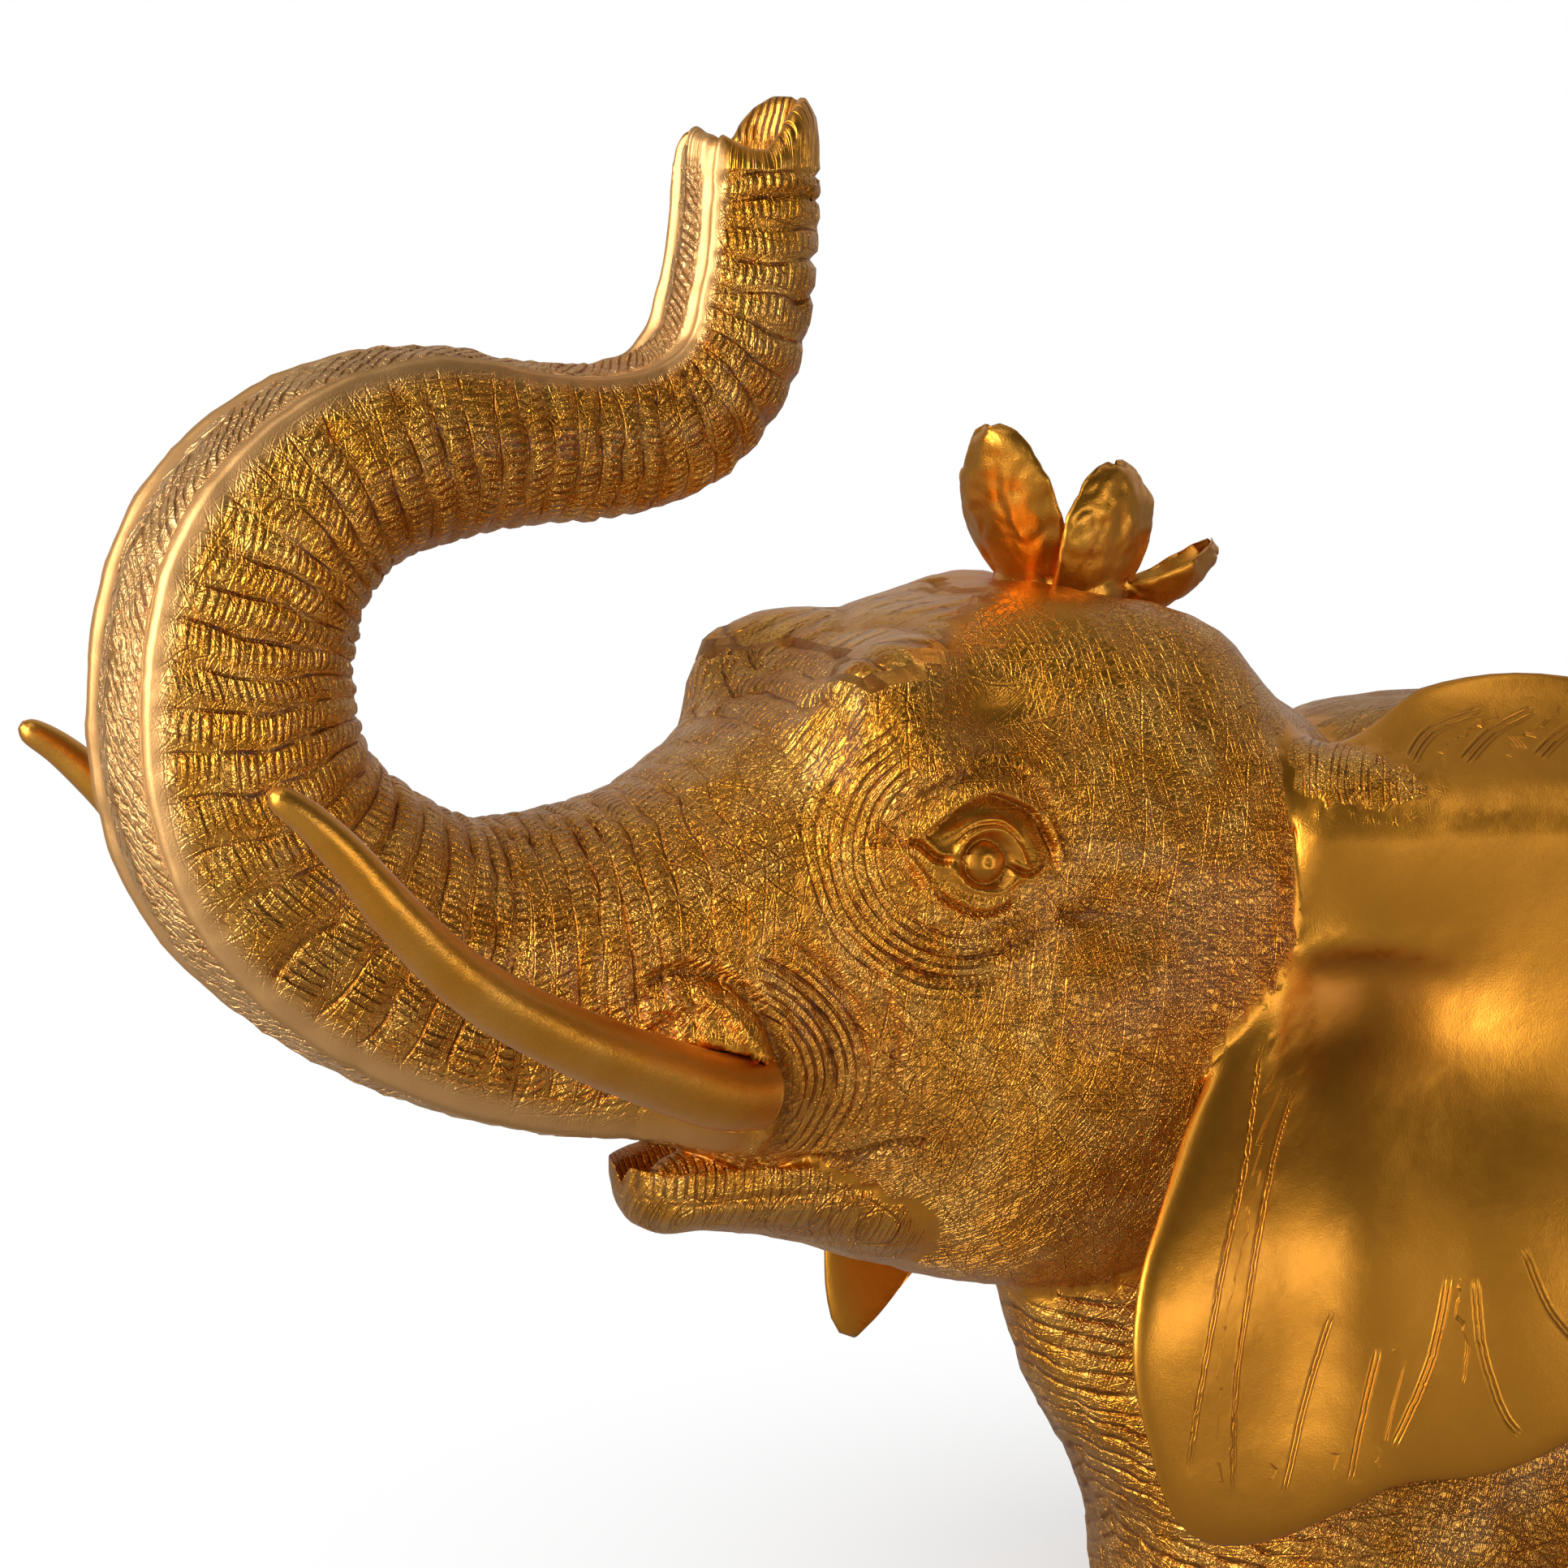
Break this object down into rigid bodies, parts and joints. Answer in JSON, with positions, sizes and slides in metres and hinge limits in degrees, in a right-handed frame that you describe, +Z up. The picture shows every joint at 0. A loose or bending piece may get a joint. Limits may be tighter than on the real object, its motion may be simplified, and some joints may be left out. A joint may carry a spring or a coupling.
{
  "type": "resin elephant bust",
  "caption": "Gilded resin bust of a trumpeting elephant with raised trunk, flared ears, separate tusks and a flower on the crown.",
  "frame": {"origin": "a point on the flat underside, in the plane of symmetry, below the neck", "axes": "the elephant looks along -X, its left side is on -Y, +Z up"},
  "size_m": [0.4568, 0.2716, 0.35],
  "materials": {
    "gilded_skin": "metallic gold paint on cast resin, semi-gloss, browner in the hollows",
    "satin_gold": "smooth satin metallic gold paint with a fine grain"
  },
  "bodies": {
    "root": {"bust": "gilded_skin", "tusk_left": "satin_gold", "tusk_right": "satin_gold", "flower": "satin_gold"}
  },
  "joints": []
}
